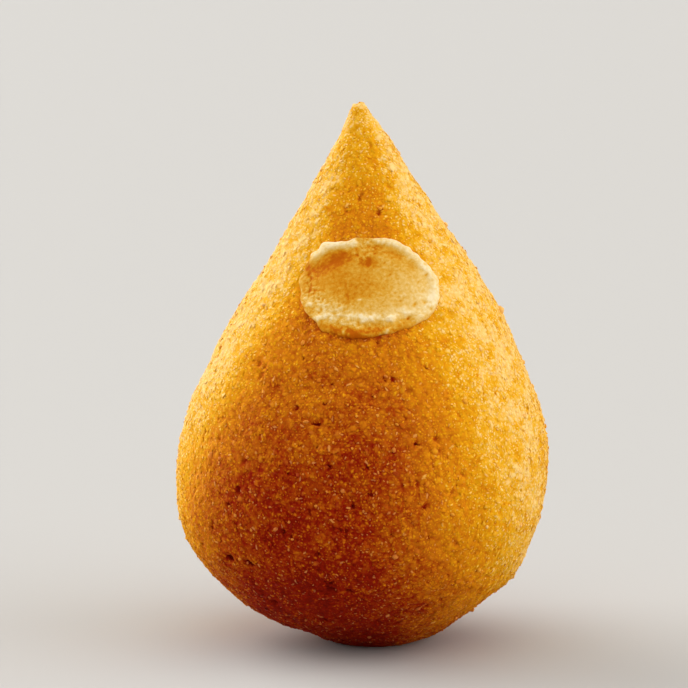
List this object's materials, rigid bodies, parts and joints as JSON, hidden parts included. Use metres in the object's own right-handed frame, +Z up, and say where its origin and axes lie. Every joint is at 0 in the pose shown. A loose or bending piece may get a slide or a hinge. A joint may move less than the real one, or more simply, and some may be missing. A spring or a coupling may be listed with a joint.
{
  "type": "coxinha",
  "caption": "Fried teardrop-shaped croquette in a fine golden breadcrumb crust, standing on its round base, with a thin disc of soft cheese pressed on its front.",
  "frame": {"origin": "on the surface that the croquette stands on, under the middle of its bounding box", "axes": "+Z up through the pointed tip; the disc of cheese faces -Y; +X is to the right of a viewer who faces the disc"},
  "size_m": [0.0586, 0.0586, 0.085],
  "materials": {
    "crust": "dry, grainy fried breadcrumb with a faint oily gloss",
    "cheese": "soft, slightly moist, semi-translucent"
  },
  "bodies": {
    "root": {"crust": "crust", "cheese_disc": "cheese"}
  },
  "joints": []
}
